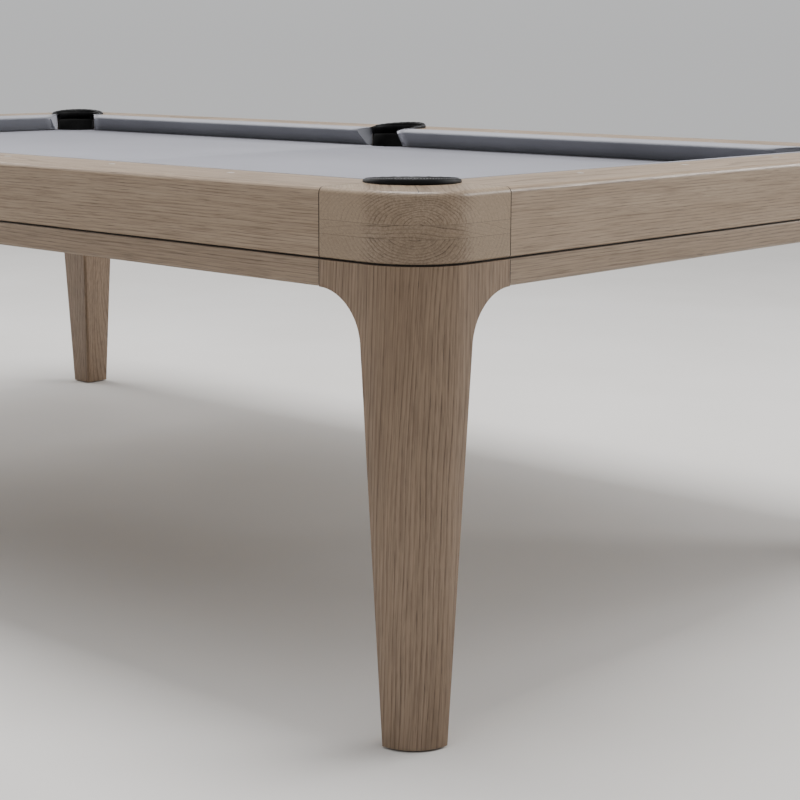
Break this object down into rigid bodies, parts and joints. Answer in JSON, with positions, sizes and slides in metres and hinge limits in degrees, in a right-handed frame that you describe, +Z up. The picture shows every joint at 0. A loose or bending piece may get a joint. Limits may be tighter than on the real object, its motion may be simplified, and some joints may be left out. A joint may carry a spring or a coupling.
{
  "type": "pool table",
  "caption": "Eight-foot slate-bed pool table with flush oak rails, rounded corner blocks, tapered quarter-round legs, drop pockets and screw levelling feet.",
  "frame": {"origin": "on the floor under the middle of the table", "axes": "+X along the table's length, +Y across it, +Z up"},
  "size_m": [2.72, 1.552, 0.8132],
  "materials": {
    "rail_oak": "open-grained grey-brown oak, matt oil finish",
    "leg_oak": "open-grained grey-brown oak, matt oil finish",
    "frame_timber": "planed softwood",
    "liner_plywood": "birch plywood strips",
    "slate": "honed slate",
    "bed_cloth": "blue-grey worsted billiard cloth",
    "cushion_cloth": "blue-grey worsted billiard cloth over rubber",
    "facing_rubber": "matt black rubber",
    "rim_leather": "glossy black leather, stitched",
    "boot_leather": "black leather",
    "sight_pearl": "pearl, polished",
    "pad_steel": "blackened steel",
    "stud_steel": "zinc-plated steel",
    "fastener_steel": "zinc-plated steel"
  },
  "bodies": {
    "table": {"bed_cloth": "bed_cloth", "bracket_screws": "fastener_steel", "corner_block_front_left": "rail_oak", "corner_block_front_right": "rail_oak", "corner_block_rear_left": "rail_oak", "corner_block_rear_right": "rail_oak", "corner_plates": "fastener_steel", "cross_beams": "frame_timber", "cushion_facings": "facing_rubber", "cushion_front_left": "cushion_cloth", "cushion_front_right": "cushion_cloth", "cushion_left": "cushion_cloth", "cushion_rear_left": "cushion_cloth", "cushion_rear_right": "cushion_cloth", "cushion_right": "cushion_cloth", "end_apron_left": "leg_oak", "end_apron_right": "leg_oak", "end_beams": "frame_timber", "end_rail_left": "rail_oak", "end_rail_right": "rail_oak", "feather_strips": "frame_timber", "leg_bolts": "fastener_steel", "leg_brackets": "fastener_steel", "leg_front_left": "leg_oak", "leg_front_right": "leg_oak", "leg_rear_left": "leg_oak", "leg_rear_right": "leg_oak", "leveller_inserts": "fastener_steel", "pocket_boot_front_left": "boot_leather", "pocket_boot_front_middle": "boot_leather", "pocket_boot_front_right": "boot_leather", "pocket_boot_rear_left": "boot_leather", "pocket_boot_rear_middle": "boot_leather", "pocket_boot_rear_right": "boot_leather", "pocket_rim_front_left": "rim_leather", "pocket_rim_front_middle": "rim_leather", "pocket_rim_front_right": "rim_leather", "pocket_rim_rear_left": "rim_leather", "pocket_rim_rear_middle": "rim_leather", "pocket_rim_rear_right": "rim_leather", "rail_bolts": "fastener_steel", "rail_sights": "sight_pearl", "side_apron_front": "leg_oak", "side_apron_rear": "leg_oak", "side_beams": "frame_timber", "side_rail_front": "rail_oak", "side_rail_rear": "rail_oak", "slate_left": "slate", "slate_liners": "liner_plywood", "slate_middle": "slate", "slate_right": "slate", "slate_screws": "fastener_steel"},
    "pad_front_left": {"leveller_pad_front_left": "pad_steel"},
    "stud_front_left": {"leveller_stud_front_left": "stud_steel"},
    "pad_front_right": {"leveller_pad_front_right": "pad_steel"},
    "stud_front_right": {"leveller_stud_front_right": "stud_steel"},
    "pad_rear_left": {"leveller_pad_rear_left": "pad_steel"},
    "stud_rear_left": {"leveller_stud_rear_left": "stud_steel"},
    "pad_rear_right": {"leveller_pad_rear_right": "pad_steel"},
    "stud_rear_right": {"leveller_stud_rear_right": "stud_steel"}
  },
  "joints": [
    {"name": "pad_slide_front_left", "type": "slide", "parent": "table", "child": "pad_front_left", "axis": [0, 0, -1], "range_m": [0, 0.02]},
    {"name": "stud_turn_front_left", "type": "hinge", "parent": "pad_front_left", "child": "stud_front_left", "pos_m": [-1.30934, -0.72534, 0.004], "axis": [0, 0, -1], "range_deg": [0, 4810]},
    {"name": "pad_slide_front_right", "type": "slide", "parent": "table", "child": "pad_front_right", "axis": [0, 0, -1], "range_m": [0, 0.02]},
    {"name": "stud_turn_front_right", "type": "hinge", "parent": "pad_front_right", "child": "stud_front_right", "pos_m": [1.30934, -0.72534, 0.004], "axis": [0, 0, -1], "range_deg": [0, 4810]},
    {"name": "pad_slide_rear_left", "type": "slide", "parent": "table", "child": "pad_rear_left", "axis": [0, 0, -1], "range_m": [0, 0.02]},
    {"name": "stud_turn_rear_left", "type": "hinge", "parent": "pad_rear_left", "child": "stud_rear_left", "pos_m": [-1.30934, 0.72534, 0.004], "axis": [0, 0, -1], "range_deg": [0, 4810]},
    {"name": "pad_slide_rear_right", "type": "slide", "parent": "table", "child": "pad_rear_right", "axis": [0, 0, -1], "range_m": [0, 0.02]},
    {"name": "stud_turn_rear_right", "type": "hinge", "parent": "pad_rear_right", "child": "stud_rear_right", "pos_m": [1.30934, 0.72534, 0.004], "axis": [0, 0, -1], "range_deg": [0, 4810]}
  ],
  "couplings": [
    {"joint": "stud_turn_front_left", "follows": "pad_slide_front_left", "rad_per_m": 4188.8},
    {"joint": "stud_turn_front_right", "follows": "pad_slide_front_right", "rad_per_m": 4188.8},
    {"joint": "stud_turn_rear_left", "follows": "pad_slide_rear_left", "rad_per_m": 4188.8},
    {"joint": "stud_turn_rear_right", "follows": "pad_slide_rear_right", "rad_per_m": 4188.8}
  ]
}
